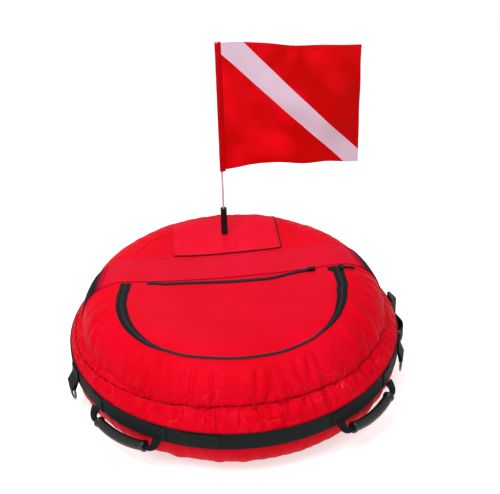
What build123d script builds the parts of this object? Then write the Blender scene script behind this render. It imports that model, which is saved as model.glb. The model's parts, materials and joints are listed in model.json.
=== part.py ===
from build123d import *
from math import asin, atan2, cos, degrees, radians, sin, sqrt
import os

# Freediving buoy: a fabric cover over an inflated ring, with a storage well in the middle,
# a zipped flap, a webbing belt with four grips, and a dive flag on a rod.
# Millimetres. +Z is up, the flap is on the -Y side, the origin is on the floor under the centre.

# Cover, in section (radius and height)
body_radius = 372.0
body_height = 258.0
foot_inner_radius = 228.0
foot_outer_radius = 281.0
belt_low = 88.0
belt_width = 40.0
seam_radius = 342.0
seam_height = 165.0
crest_radius = 245.0
well_radius = 115.0
well_waist_height = 128.0
top_sag = 12.0

# Fabric thicknesses and clearances
skin = 3.0
patch_thickness = 2.0
band_thickness = 1.0
mesh_thickness = 1.5
fit_gap = 0.3
touch_gap = 0.1
overrun = 60.0

# Flap
hinge_line_y = 15.0
flap_half_width = 241.0
flap_front_radius = 283.0
flap_corner_radius = 215.0
deck_radius = 243.0

# Zips
tape_width = 11.0
tape_thickness = 1.5
tape_end_y = 8.0
pocket_zip_start_x = -190.0
pocket_zip_end_x = 188.0
pocket_zip_y = 9.6
pocket_tape_width = 9.0
slider_length = 18.0
slider_width = 9.0
slider_height = 4.0
pull_length = 26.0
pull_width = 6.0
pull_height = 2.5
pull_overlap = 4.0

# Cross band and shoulder mesh panels
band_back_y = 106.0
band_half_length = 338.0
mesh_inner_radius = 292.0
mesh_outer_x = 334.0
mesh_margin = 2.0

# Flag patch and its edge tape
patch_half_width = 125.0
patch_front_y = 112.0
patch_back_y = 255.0
trim_width = 4.0
trim_thickness = 3.0

# Flag socket, rod and flag
mast_y = 186.0
rod_radius = 2.5
rod_top = 740.0
socket_radius = 7.5
socket_length = 75.0
socket_tuck = 6.0
socket_floor = 8.0
flag_width = 314.0
flag_low = 434.0
flag_high = 737.0
flag_turn = -2.0
flag_thickness = 1.6
sleeve_radius = 4.6
sleeve_reach = 15.0
sleeve_drop = 5.0
stripe_width = 54.0
flag_wave = 6.0

# Belt, its overlap, tail and buckle
belt_thickness = 2.5
overlap_start = -113.0
overlap_end = -100.0
pad_thickness = 2.0
pad_margin = 2.0
buckle_azimuth = 7.0
buckle_length = 32.0
buckle_height = 46.0
buckle_heel = 6.0
buckle_thickness = 12.0
buckle_lip = 11.4
buckle_bar = 5.0
buckle_slot_width = 5.5
buckle_rise = 6.0
tail_start = -2.0
tail_end = -13.0
tail_rise = 9.0
tail_thickness = 2.2

# Handles
handle_azimuths = [-133.5, -47.7, 47.7, 133.5]
hinge_half_chord = 85.0
hinge_height = 96.0
hang_angle = 49.0
leg_width = 24.0
leg_thickness = 5.0
leg_tip_width = 12.0
grip_half_length = 60.0
grip_radius = 11.0
grip_bore_radius = 5.3
grip_reach = 24.0
grip_bow = 8.0
collar_radius = 12.5
collar_length = 7.0
anchor_length = 34.0

# Ring tabs and D-rings
ring_azimuths = [-163.5, -17.5]
ring_stand_offs = [14.0, 9.0]
tab_width = 42.0
web_thickness = 1.8
tab_roll_height = 84.0
tab_bend_height = 106.0
ring_wire_radius = 2.5
ring_half_width = 28.0
ring_corner_radius = 6.0

# Underside
mesh_floor_height = 34.0
line_ring_radius = 28.0
line_wire_radius = 3.0
line_ring_height = 20.0
base_strap_width = 24.0
base_strap_roll = 6.4
base_strap_count = 4

# Circles of the top surface: the crown over the tube, and the shallow dish between
crown_rise = body_height - seam_height
crown_reach = seam_radius - crest_radius
crown_radius = (crown_reach**2 + crown_rise**2) / (2 * crown_rise)
crown_centre_z = body_height - crown_radius
dish_depth = crown_radius - top_sag
dish_radius = (crest_radius**2 + dish_depth**2 - crown_radius**2) / (2 * top_sag)
dish_centre_z = body_height - top_sag + dish_radius
rim_angle = degrees(asin(crest_radius / (dish_radius + crown_radius)))
seam_angle = degrees(atan2(seam_height - crown_centre_z, crown_reach))

belt_high = belt_low + belt_width
belt_outer_radius = body_radius + belt_thickness
anchor_outer_radius = belt_outer_radius + pad_thickness
prism_height = body_height + overrun


def on_crown(offset, angle):
    reach = crown_radius + offset
    return crest_radius + reach * cos(radians(angle)), crown_centre_z + reach * sin(radians(angle))


def on_dish(offset, angle):
    reach = dish_radius - offset
    return reach * sin(radians(angle)), dish_centre_z - reach * cos(radians(angle))


def surface_height(x, y, offset=0.0):
    """Height of the dished top at a place inside the rim."""
    reach = dish_radius - offset
    return dish_centre_z - sqrt(reach**2 - x**2 - y**2)


def polar(radius, azimuth):
    return radius * cos(radians(azimuth)), radius * sin(radians(azimuth))


def crown_arc(offset, start, end):
    return ThreePointArc(on_crown(offset, start), on_crown(offset, (start + end) / 2), on_crown(offset, end))


def dish_arc(offset, start, end):
    return ThreePointArc(on_dish(offset, start), on_dish(offset, (start + end) / 2), on_dish(offset, end))


def skin_section(low, high):
    """Section of a layer between two offsets of the top surface, centre to shoulder seam."""
    rim = 90 + rim_angle
    with BuildSketch(Plane.XZ) as section:
        with BuildLine():
            dish_arc(low, 0, rim_angle)
            crown_arc(low, rim, seam_angle)
            Line(on_crown(low, seam_angle), on_crown(high, seam_angle))
            crown_arc(high, seam_angle, rim)
            dish_arc(high, rim_angle, 0)
            Line(on_dish(high, 0), on_dish(low, 0))
        make_face()
    return section.sketch


def top_layer(outline, low, high):
    """A piece of fabric that lies on the top surface, cut to an outline seen from above."""
    with BuildPart() as layer:
        revolve(skin_section(low, high), axis=Axis.Z)
        extrude(outline, amount=prism_height, mode=Mode.INTERSECT)
    return layer.part


def flap_outline(grow):
    """The flap seen from above: straight hinge edge and sides, easy corners and a round front."""
    half = flap_half_width + grow
    corner = flap_corner_radius + grow
    front = flap_front_radius + grow
    corner_x = half - corner
    corner_y = -sqrt((front - corner) ** 2 - corner_x**2)
    touch_angle = degrees(atan2(corner_y, corner_x))
    touch_x, touch_y = polar(front, touch_angle)
    middle_x, middle_y = polar(corner, touch_angle / 2)
    with BuildSketch() as outline:
        with BuildLine():
            Polyline((half, corner_y), (half, hinge_line_y), (-half, hinge_line_y), (-half, corner_y))
            ThreePointArc(
                (-half, corner_y), (-corner_x - middle_x, corner_y + middle_y), (-touch_x, touch_y)
            )
            ThreePointArc((-touch_x, touch_y), (0, -front), (touch_x, touch_y))
            ThreePointArc((touch_x, touch_y), (corner_x + middle_x, corner_y + middle_y), (half, corner_y))
        make_face()
    return outline.sketch


def u_band(outer, inner):
    """The U between two sizes of the flap outline, cut off just short of the hinge edge."""
    with BuildSketch() as outline:
        add(flap_outline(outer))
        add(flap_outline(inner), mode=Mode.SUBTRACT)
        add(rectangle_outline(-body_radius, body_radius, tape_end_y, body_radius), mode=Mode.SUBTRACT)
    return outline.sketch


def rectangle_outline(x_low, x_high, y_low, y_high):
    with BuildSketch() as outline:
        with Locations(((x_low + x_high) / 2, (y_low + y_high) / 2)):
            Rectangle(x_high - x_low, y_high - y_low)
    return outline.sketch


def wall_point(height):
    """Radius of the well wall at a height."""
    chord_low = foot_inner_radius
    centre = (chord_low**2 + well_waist_height**2 - well_radius**2) / (2 * (chord_low - well_radius))
    radius = centre - well_radius
    return centre - sqrt(radius**2 - (height - well_waist_height) ** 2)


def wall_arc(top, bottom):
    middle = (top + bottom) / 2
    return ThreePointArc((wall_point(top), top), (wall_point(middle), middle), (wall_point(bottom), bottom))


def export(part, label):
    part.label = label
    export_step(part, f"parts/{label}.step")


os.makedirs("parts", exist_ok=True)

# Cover base: the bottom panel, from the foot on the floor up to the belt seat
base_arc_radius = ((body_radius - foot_outer_radius) ** 2 + belt_low**2) / (2 * belt_low)
base_mid_angle = radians(-45)
with BuildPart() as cover_base:
    with BuildSketch(Plane.XZ):
        with BuildLine():
            Line((wall_point(0), 0), (foot_outer_radius, 0))
            ThreePointArc(
                (foot_outer_radius, 0),
                (
                    foot_outer_radius + base_arc_radius * cos(base_mid_angle),
                    base_arc_radius + base_arc_radius * sin(base_mid_angle),
                ),
                (body_radius, belt_low),
            )
            Line((body_radius, belt_low), (wall_point(belt_low), belt_low))
            wall_arc(belt_low, 0)
        make_face()
    revolve(axis=Axis.Z)
export(cover_base.part, "cover_base")

# Cover side: the gathered panel between the belt and the shoulder seam
side_bulge_share = 0.55
with BuildPart() as cover_side:
    with BuildSketch(Plane.XZ):
        with BuildLine():
            Line((wall_point(belt_low), belt_low), (body_radius, belt_low))
            Line((body_radius, belt_low), (body_radius, belt_high))
            ThreePointArc(
                (body_radius, belt_high),
                (
                    seam_radius + (body_radius - seam_radius) * side_bulge_share,
                    (belt_high + seam_height) / 2,
                ),
                (seam_radius, seam_height),
            )
            Line((seam_radius, seam_height), (wall_point(seam_height), seam_height))
            wall_arc(seam_height, belt_low)
        make_face()
    revolve(axis=Axis.Z)
export(cover_side.part, "cover_side")

# Flap: the front lid of the storage well, hinged on the seam of the cross band
with BuildSketch() as flap_plan:
    add(flap_outline(-fit_gap))
    add(
        rectangle_outline(-body_radius, body_radius, hinge_line_y - fit_gap, body_radius),
        mode=Mode.SUBTRACT,
    )
flap = top_layer(flap_plan.sketch, -skin, 0)
export(flap, "flap")

# Top deck: the rear half of the top panel, over the well
with BuildSketch() as deck_plan:
    Circle(deck_radius)
    add(rectangle_outline(-body_radius, body_radius, -body_radius, hinge_line_y), mode=Mode.SUBTRACT)
    with Locations((0, mast_y)):
        Circle(socket_radius + touch_gap, mode=Mode.SUBTRACT)
export(top_layer(deck_plan.sketch, -skin, 0), "top_deck")

# Cover crown: the top of the tube, with a seat for the flap and the deck
with BuildSketch() as deck_seat_plan:
    Circle(deck_radius)
    add(rectangle_outline(-body_radius, body_radius, -body_radius, hinge_line_y), mode=Mode.SUBTRACT)
rim_point = on_crown(0, 90 + rim_angle)
with BuildPart() as cover_crown:
    with BuildSketch(Plane.XZ):
        with BuildLine():
            Line((wall_point(seam_height), seam_height), (seam_radius, seam_height))
            crown_arc(0, seam_angle, 90 + rim_angle)
            ThreePointArc(
                rim_point,
                (wall_point((seam_height + rim_point[1]) / 2), (seam_height + rim_point[1]) / 2),
                (wall_point(seam_height), seam_height),
            )
        make_face()
    revolve(axis=Axis.Z)
    add(top_layer(flap_outline(0), -skin - fit_gap, overrun), mode=Mode.SUBTRACT)
    add(top_layer(deck_seat_plan.sketch, -skin, overrun), mode=Mode.SUBTRACT)
export(cover_crown.part, "cover_crown")

# U-shaped zip: one tape on the cover, the other on the flap's edge
zip_split = fit_gap / 2
tape_top = fit_gap + tape_thickness
export(top_layer(u_band(tape_width, zip_split), fit_gap, tape_top), "flap_zip_outer")
export(top_layer(u_band(-fit_gap, -tape_width), fit_gap, tape_top), "flap_zip_inner")

# Slider of the U-shaped zip, parked at the right end, with its pull lying outwards
slider_seat = tape_top + touch_gap
slider_x = flap_half_width + slider_width / 2 + 2 * fit_gap
slider_y = tape_end_y - slider_length / 2
with BuildSketch() as slider_plan:
    with Locations((slider_x, slider_y)):
        RectangleRounded(slider_width, slider_length, slider_width / 3)
with BuildSketch() as pull_plan:
    with Locations((slider_x + slider_width / 2 + (pull_length - pull_overlap) / 2, slider_y)):
        SlotOverall(pull_length + pull_overlap, pull_width)
with BuildPart() as flap_slider:
    add(top_layer(slider_plan.sketch, slider_seat, slider_seat + slider_height))
    add(top_layer(pull_plan.sketch, slider_seat, slider_seat + pull_height))
export(flap_slider.part, "flap_slider")

# Straight pocket zip in the flap, along its hinge edge, with its slider at the right end
pocket_low = pocket_zip_y - pocket_tape_width / 2
pocket_high = pocket_zip_y + pocket_tape_width / 2
pocket_plan = rectangle_outline(pocket_zip_start_x, pocket_zip_end_x, pocket_low, pocket_high)
export(top_layer(pocket_plan, fit_gap, tape_top), "pocket_zip")
with BuildSketch() as pocket_slider_plan:
    with Locations((pocket_zip_end_x - slider_length / 2, pocket_zip_y)):
        RectangleRounded(slider_length, pocket_tape_width, pocket_tape_width / 3)
export(top_layer(pocket_slider_plan.sketch, slider_seat, slider_seat + slider_height), "pocket_slider")

# Cross band over the middle, and the dark mesh panels where it runs over the shoulders
band_plan = rectangle_outline(-band_half_length, band_half_length, hinge_line_y + fit_gap, band_back_y)
band_top = fit_gap + band_thickness
export(top_layer(band_plan, fit_gap, band_top), "cross_band")
for side, label in [(-1, "mesh_panel_left"), (1, "mesh_panel_right")]:
    ends = sorted([0, side * mesh_outer_x])
    with BuildSketch() as panel_plan:
        add(rectangle_outline(*ends, hinge_line_y + mesh_margin, band_back_y - mesh_margin))
        Circle(mesh_inner_radius, mode=Mode.SUBTRACT)
    mesh_low = band_top + fit_gap
    export(top_layer(panel_plan.sketch, mesh_low, mesh_low + mesh_thickness), label)

# Patch behind the band that carries the flag socket, with a dark tape on two edges
with BuildSketch() as patch_plan:
    add(rectangle_outline(-patch_half_width, patch_half_width, patch_front_y, patch_back_y))
    with Locations((0, mast_y)):
        Circle(socket_radius + touch_gap, mode=Mode.SUBTRACT)
export(top_layer(patch_plan.sketch, fit_gap, fit_gap + patch_thickness), "flag_patch")
with BuildSketch() as trim_plan:
    add(
        rectangle_outline(
            -patch_half_width, patch_half_width + trim_width, patch_front_y - trim_width, patch_front_y
        )
    )
    add(rectangle_outline(patch_half_width, patch_half_width + trim_width, patch_front_y, patch_back_y))
export(top_layer(trim_plan.sketch, fit_gap, fit_gap + trim_thickness), "patch_trim")

# Flag socket: a rubber tube through the patch and the deck
socket_low = surface_height(0, mast_y) - socket_tuck
with BuildPart() as flag_socket:
    with Locations((0, mast_y, socket_low)):
        Cylinder(
            socket_radius,
            socket_length + socket_tuck,
            align=(Align.CENTER, Align.CENTER, Align.MIN),
        )
    with Locations((0, mast_y, socket_low + socket_floor)):
        Cylinder(
            rod_radius + fit_gap,
            socket_length + socket_tuck,
            align=(Align.CENTER, Align.CENTER, Align.MIN),
            mode=Mode.SUBTRACT,
        )
    fillet(flag_socket.edges().group_by(Axis.Z)[-1], (socket_radius - rod_radius) / 4)
export(flag_socket.part, "flag_socket")

# Rod: a thin glass fibre rod that stands in the socket
rod_low = socket_low + socket_floor
with BuildPart() as flag_rod:
    with Locations((0, mast_y, rod_low)):
        Cylinder(rod_radius, rod_top - rod_low, align=(Align.CENTER, Align.CENTER, Align.MIN))
    fillet(flag_rod.edges().group_by(Axis.Z)[-1], rod_radius / 2)
export(flag_rod.part, "flag_rod")

# Flag: sleeve and red field, with the diagonal stripe let in between the two red halves
flag_height = flag_high - flag_low
flag_plane = Plane(origin=(0, mast_y, flag_low), x_dir=(cos(radians(flag_turn)), sin(radians(flag_turn)), 0))
half_width = flag_width / 2
with BuildPart() as flag_field:
    with BuildSketch(flag_plane):
        with BuildLine() as flag_line:
            ThreePointArc((sleeve_reach, 0), (half_width / 2, flag_wave), (half_width, 0))
            ThreePointArc((half_width, 0), (half_width * 3 / 2, -flag_wave), (flag_width, 0))
        trace(flag_line.line, flag_thickness)
    extrude(amount=flag_height)
    with BuildSketch(flag_plane.offset(-sleeve_drop)):
        with BuildLine():
            Line((0, sleeve_radius), (sleeve_reach, flag_thickness))
            Line((sleeve_reach, flag_thickness), (sleeve_reach, -flag_thickness))
            Line((sleeve_reach, -flag_thickness), (0, -sleeve_radius))
            ThreePointArc((0, -sleeve_radius), (-sleeve_radius, 0), (0, sleeve_radius))
        make_face()
        Circle(rod_radius + fit_gap, mode=Mode.SUBTRACT)
    extrude(amount=flag_height + sleeve_drop)

# The stripe runs from the top corner at the sleeve to the bottom corner at the fly
stripe_plane = Plane(origin=flag_plane.origin, x_dir=flag_plane.x_dir, z_dir=flag_plane.x_dir.cross(Vector(0, 0, 1)))
stripe_slope = atan2(flag_height, flag_width - sleeve_reach)
stripe_rise = stripe_width / cos(stripe_slope) / 2
stripe_run = stripe_width / sin(stripe_slope) / 2
with BuildPart() as stripe_cutter:
    with BuildSketch(stripe_plane):
        with BuildLine():
            Polyline(
                (sleeve_reach, flag_height),
                (sleeve_reach + stripe_run, flag_height),
                (flag_width + flag_thickness, stripe_rise),
                (flag_width + flag_thickness, 0),
                (flag_width - stripe_run, 0),
                (sleeve_reach, flag_height - stripe_rise),
                close=True,
            )
        make_face()
    extrude(amount=overrun, both=True)
with BuildPart() as flag_stripe:
    add(flag_field.part)
    add(stripe_cutter.part, mode=Mode.INTERSECT)
with BuildPart() as flag_cloth:
    add(flag_field.part)
    add(stripe_cutter.part, mode=Mode.SUBTRACT)
export(flag_stripe.part, "flag_stripe")
export(flag_cloth.part, "flag_cloth")


def belt_arc_plan(inner, outer, start, end):
    """Plan of a band that follows the belt between two azimuths."""
    middle = (start + end) / 2
    with BuildSketch() as outline:
        with BuildLine():
            ThreePointArc(polar(inner, start), polar(inner, middle), polar(inner, end))
            Line(polar(inner, end), polar(outer, end))
            ThreePointArc(polar(outer, end), polar(outer, middle), polar(outer, start))
            Line(polar(outer, start), polar(inner, start))
        make_face()
    return outline.sketch


def lift(outline, low, high):
    """A flat plan extruded from one height to another."""
    with BuildPart() as solid:
        extrude(Plane.XY.offset(low) * outline, amount=high - low)
    return solid.part


# Belt: heavy webbing round the widest part
with BuildPart() as belt:
    with BuildSketch(Plane.XY.offset(belt_low)):
        Circle(belt_outer_radius)
        Circle(body_radius, mode=Mode.SUBTRACT)
    extrude(amount=belt_width)
export(belt.part, "belt")

pad_low = belt_low + pad_margin
pad_high = belt_high - pad_margin
overlap_plan = belt_arc_plan(belt_outer_radius, anchor_outer_radius, overlap_start, overlap_end)
export(lift(overlap_plan, pad_low, pad_high), "belt_overlap")

# Belt tail: the slack end of the belt, standing off in a low arch beside the buckle
tail_middle = (tail_start + tail_end) / 2
tail_inner = belt_outer_radius + touch_gap
tail_outer = tail_inner + tail_thickness
with BuildSketch() as tail_plan:
    with BuildLine():
        ThreePointArc(
            polar(tail_inner, tail_start), polar(tail_inner + tail_rise, tail_middle), polar(tail_inner, tail_end)
        )
        Line(polar(tail_inner, tail_end), polar(tail_outer, tail_end))
        ThreePointArc(
            polar(tail_outer, tail_end), polar(tail_outer + tail_rise, tail_middle), polar(tail_outer, tail_start)
        )
        Line(polar(tail_outer, tail_start), polar(tail_inner, tail_start))
    make_face()
export(lift(tail_plan.sketch, pad_low, pad_high), "belt_tail")


def belt_plane(radius, azimuth, height):
    """Upright plane that faces outwards from the belt: x runs along the belt, y is up."""
    along = Vector(-sin(radians(azimuth)), cos(radians(azimuth)), 0)
    outward = Vector(cos(radians(azimuth)), sin(radians(azimuth)), 0)
    return Plane(origin=(*polar(radius, azimuth), height), x_dir=along, z_dir=outward)


# Buckle: a ladder lock frame, thick at the lifting edge, with two slots for the webbing
buckle_centre_height = belt_low + belt_width / 2 + buckle_rise
buckle_plane = belt_plane(belt_outer_radius + touch_gap, buckle_azimuth, buckle_centre_height)
buckle_half = buckle_length / 2
buckle_foot = buckle_plane.from_local_coords((0, -buckle_height / 2, 0))
with BuildPart() as belt_buckle:
    with BuildSketch(Plane(origin=buckle_foot, x_dir=buckle_plane.x_dir, z_dir=buckle_plane.y_dir)):
        with BuildLine():
            Polyline(
                (-buckle_half, 0),
                (buckle_half, 0),
                (buckle_half, -buckle_heel),
                (-buckle_half + buckle_heel, -buckle_thickness),
                (-buckle_half, -buckle_lip),
                close=True,
            )
        make_face()
    extrude(amount=buckle_height)
    with BuildSketch(buckle_plane):
        with GridLocations(buckle_slot_width + buckle_bar, 0, 2, 1):
            Rectangle(buckle_slot_width, belt_width - buckle_bar)
    extrude(amount=buckle_thickness, mode=Mode.SUBTRACT)
export(belt_buckle.part, "belt_buckle")

# Handle anchors: the stitched ends of the handle webbing, four pairs on the belt
anchor_turn = degrees(anchor_length / 2 / belt_outer_radius)
anchor_azimuth_step = degrees(asin(hinge_half_chord / anchor_outer_radius))
with BuildPart() as handle_anchors:
    for azimuth in handle_azimuths:
        for side in (-1, 1):
            centre = azimuth + side * anchor_azimuth_step
            anchor_plan = belt_arc_plan(
                belt_outer_radius, anchor_outer_radius, centre - anchor_turn, centre + anchor_turn
            )
            extrude(Plane.XY.offset(pad_low) * anchor_plan, amount=pad_high - pad_low)
export(handle_anchors.part, "handle_anchors")

# Handles: webbing through a rubber grip, hanging out from the belt on a straight fold line
leg_half = leg_thickness / 2
leg_inner_u = hinge_half_chord - leg_width / 2
leg_outer_u = hinge_half_chord + leg_width / 2
hinge_distance = sqrt((anchor_outer_radius + fit_gap + leg_half) ** 2 - leg_inner_u**2)


def handle_plane(azimuth):
    """Plane of a hanging handle: x runs along the fold line, y out to the grip."""
    along = Vector(-sin(radians(azimuth)), cos(radians(azimuth)), 0)
    outward = Vector(*polar(cos(radians(hang_angle)), azimuth), -sin(radians(hang_angle)))
    return Plane(origin=(*polar(hinge_distance, azimuth), hinge_height), x_dir=along, z_dir=along.cross(outward))


grip_arc_radius = (grip_half_length**2 + grip_bow**2) / (2 * grip_bow)
grip_tilt = asin(grip_half_length / grip_arc_radius)
leg_tip_u = grip_half_length + collar_radius * sin(grip_tilt) + fit_gap
core_end_u = leg_tip_u + leg_tip_width / 2


def grip_arc(end_u):
    """The bowed line of the grip, out to a distance each side of its middle."""
    end_v = grip_reach + grip_bow - grip_arc_radius + sqrt(grip_arc_radius**2 - end_u**2)
    return ThreePointArc((-end_u, end_v), (0, grip_reach + grip_bow), (end_u, end_v))


def handle_strap(azimuth):
    plane = handle_plane(azimuth)
    tip_v = grip_reach + leg_tip_width / 2
    with BuildPart() as strap:
        with BuildSketch(plane) as legs:
            for side in (-1, 1):
                with BuildLine():
                    Polyline(
                        (side * leg_inner_u, 0),
                        (side * leg_outer_u, 0),
                        (side * (leg_tip_u + leg_tip_width), tip_v),
                        (side * leg_tip_u, tip_v),
                        (side * leg_tip_u, tip_v - leg_tip_width),
                        close=True,
                    )
                make_face()
        extrude(amount=leg_half, both=True)
        for side in (-1, 1):
            with BuildSketch(Plane(origin=plane.from_local_coords((side * leg_inner_u, 0, 0)), z_dir=plane.x_dir * side)):
                Circle(leg_half)
            extrude(amount=leg_width)
        with BuildLine(plane) as core_line:
            grip_arc(core_end_u)
        with BuildSketch(Plane(origin=core_line.line @ 0, z_dir=core_line.line % 0)):
            Circle(grip_bore_radius - fit_gap)
        sweep()
    return strap.part


def handle_grip(azimuth):
    plane = handle_plane(azimuth)
    with BuildPart() as grip:
        with BuildLine(plane) as grip_line:
            grip_arc(grip_half_length)
        with BuildSketch(Plane(origin=grip_line.line @ 0, z_dir=grip_line.line % 0)):
            Circle(grip_radius)
            Circle(grip_bore_radius, mode=Mode.SUBTRACT)
        sweep()
        for place in (0, 1):
            direction = grip_line.line % place * (1 - 2 * place)
            with BuildSketch(Plane(origin=grip_line.line @ place, z_dir=direction)):
                Circle(collar_radius)
                Circle(grip_bore_radius, mode=Mode.SUBTRACT)
            extrude(amount=collar_length)
    return grip.part


handle_names = ["front_left", "front_right", "rear_right", "rear_left"]
for azimuth, name in zip(handle_azimuths, handle_names):
    export(handle_strap(azimuth), f"handle_strap_{name}")
    export(handle_grip(azimuth), f"handle_grip_{name}")

# Ring tabs: webbing folded over the straight bar of each ring and sewn to the belt
roll_inner = ring_wire_radius + fit_gap
roll_outer = roll_inner + web_thickness
tab_top = belt_high - pad_margin


def ring_plane(azimuth, stand_off):
    """Upright plane through a ring's bar: x runs along the bar, y is up."""
    return belt_plane(belt_outer_radius + stand_off, azimuth, tab_roll_height)


def ring_tab(azimuth, stand_off):
    plane = ring_plane(azimuth, stand_off)
    leaf_inner = touch_gap - stand_off
    section_plane = Plane(
        origin=plane.from_local_coords((-tab_width / 2, 0, 0)), x_dir=plane.z_dir, z_dir=plane.x_dir * -1
    )
    with BuildPart() as tab:
        with BuildSketch(section_plane):
            with BuildLine():
                Polyline(
                    (leaf_inner, tab_top - tab_roll_height),
                    (leaf_inner + 2 * web_thickness, tab_top - tab_roll_height),
                    (leaf_inner + 2 * web_thickness, tab_bend_height - tab_roll_height),
                    (roll_outer, 0),
                    (-roll_outer, 0),
                    (leaf_inner, tab_bend_height - tab_roll_height),
                    close=True,
                )
            make_face()
            Circle(roll_outer)
            Circle(roll_inner, mode=Mode.SUBTRACT)
        extrude(amount=-tab_width)
    return tab.part


def d_ring(azimuth, stand_off):
    plane = ring_plane(azimuth, stand_off)
    flat_half = ring_half_width - ring_corner_radius
    corner_mid = ring_corner_radius * (1 - cos(radians(45)))
    with BuildPart() as ring:
        with BuildLine(plane) as ring_line:
            Line((-flat_half, 0), (flat_half, 0))
            ThreePointArc(
                (flat_half, 0),
                (ring_half_width - corner_mid, -corner_mid),
                (ring_half_width, -ring_corner_radius),
            )
            ThreePointArc(
                (ring_half_width, -ring_corner_radius),
                (0, -ring_corner_radius - ring_half_width),
                (-ring_half_width, -ring_corner_radius),
            )
            ThreePointArc(
                (-ring_half_width, -ring_corner_radius),
                (-ring_half_width + corner_mid, -corner_mid),
                (-flat_half, 0),
            )
        with BuildSketch(Plane(origin=ring_line.line @ 0, z_dir=ring_line.line % 0)):
            Circle(ring_wire_radius)
        sweep()
    return ring.part


for azimuth, stand_off, name in zip(ring_azimuths, ring_stand_offs, ["left", "right"]):
    export(ring_tab(azimuth, stand_off), f"ring_tab_{name}")
    export(d_ring(azimuth, stand_off), f"d_ring_{name}")

# Well floor: the mesh panel that closes the storage well
with BuildPart() as well_floor:
    with BuildSketch(Plane.XY.offset(mesh_floor_height)):
        Circle(wall_point(mesh_floor_height + patch_thickness) - touch_gap)
    extrude(amount=patch_thickness)
export(well_floor.part, "well_floor")

# Line ring: the steel ring under the buoy that carries the dive line
with BuildPart() as line_ring:
    with BuildSketch(Plane.XZ):
        with Locations((line_ring_radius, line_ring_height)):
            Circle(line_wire_radius)
    revolve(axis=Axis.Z)
export(line_ring.part, "line_ring")

# Base straps: four webbing straps from the ring to the foot of the cover
strap_roll_outer = base_strap_roll + web_thickness
strap_wall_radius = wall_point(line_ring_height + web_thickness) - touch_gap
strap_length = sqrt(strap_wall_radius**2 - (base_strap_width / 2) ** 2) - line_ring_radius
with BuildPart() as base_straps:
    for index in range(base_strap_count):
        turn = 360 / base_strap_count * index + 180 / base_strap_count
        along = Vector(-sin(radians(turn)), cos(radians(turn)), 0)
        outward = Vector(cos(radians(turn)), sin(radians(turn)), 0)
        start = Vector(*polar(line_ring_radius, turn), line_ring_height) - along * (base_strap_width / 2)
        with BuildSketch(Plane(origin=start, x_dir=outward, z_dir=along)):
            with BuildLine():
                Polyline(
                    (0, web_thickness),
                    (strap_length, web_thickness),
                    (strap_length, -web_thickness),
                    (0, -web_thickness),
                    close=True,
                )
            make_face()
            Circle(strap_roll_outer)
            Circle(base_strap_roll, mode=Mode.SUBTRACT)
        extrude(amount=base_strap_width)
export(base_straps.part, "base_straps")
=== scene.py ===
import json
from bisect import bisect_right
from math import asin, atan2, cos, degrees, exp, hypot, pi, radians, sin, sqrt

import bpy
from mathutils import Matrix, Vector, noise

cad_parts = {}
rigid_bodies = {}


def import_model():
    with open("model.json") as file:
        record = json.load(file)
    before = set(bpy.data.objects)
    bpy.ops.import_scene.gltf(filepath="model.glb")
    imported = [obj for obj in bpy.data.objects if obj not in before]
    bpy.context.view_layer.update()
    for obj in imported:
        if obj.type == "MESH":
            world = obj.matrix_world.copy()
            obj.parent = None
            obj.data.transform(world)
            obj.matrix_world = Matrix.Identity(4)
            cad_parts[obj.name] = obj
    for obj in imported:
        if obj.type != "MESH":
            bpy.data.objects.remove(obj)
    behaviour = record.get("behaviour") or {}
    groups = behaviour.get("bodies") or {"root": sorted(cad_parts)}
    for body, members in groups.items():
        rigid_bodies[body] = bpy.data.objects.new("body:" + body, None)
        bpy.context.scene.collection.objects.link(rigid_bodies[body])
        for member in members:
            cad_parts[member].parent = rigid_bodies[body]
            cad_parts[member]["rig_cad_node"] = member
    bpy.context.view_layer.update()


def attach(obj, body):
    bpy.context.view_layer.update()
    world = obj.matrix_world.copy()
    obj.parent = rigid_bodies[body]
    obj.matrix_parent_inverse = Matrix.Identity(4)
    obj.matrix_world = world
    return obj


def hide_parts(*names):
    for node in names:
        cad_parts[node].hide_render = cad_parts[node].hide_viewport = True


bpy.data.batch_remove(list(bpy.data.objects))
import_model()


# Camera, pale floor and studio light. The camera stands a little left of the middle and
# looks down on the top of the buoy. The white behind it is what the camera alone sees.
def put(tree, kind, sockets=None, **settings):
    """A new node: settings are its own properties, sockets its inputs, as values or as links."""
    made = tree.nodes.new("ShaderNode" + kind)
    for name, value in settings.items():
        setattr(made, name, value)
    for name, value in (sockets or {}).items():
        if isinstance(value, bpy.types.NodeSocket):
            tree.links.new(value, made.inputs[name])
        else:
            made.inputs[name].default_value = value
    return made


def calc(tree, operation, *values, clamped=False):
    """What a Math node makes of values or links."""
    return put(tree, "Math", dict(enumerate(values)), operation=operation, use_clamp=clamped).outputs[0]


def rescale(tree, value, low=0.0, high=1.0, at_low=0.0, at_high=1.0):
    """A value between low and high brought to the same place between at_low and at_high."""
    sockets = {"Value": value, "From Min": low, "From Max": high, "To Min": at_low, "To Max": at_high}
    return put(tree, "MapRange", sockets).outputs[0]


def seen_directly(tree):
    """1 for what the camera, a reflection or a view through glass meets first."""
    ray = put(tree, "LightPath").outputs
    mirrored = calc(tree, "MAXIMUM", ray["Is Camera Ray"], ray["Is Glossy Ray"])
    return calc(tree, "MAXIMUM", mirrored, ray["Is Transmission Ray"])


def mix_shaders(tree, share, first, second):
    return put(tree, "MixShader", {0: share, 1: first.outputs[0], 2: second.outputs[0]})


def new_material(name):
    """A material, its nodes and its shader."""
    made = bpy.data.materials.new(name)
    made.use_nodes = True
    return made, made.node_tree, made.node_tree.nodes["Principled BSDF"]


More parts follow.
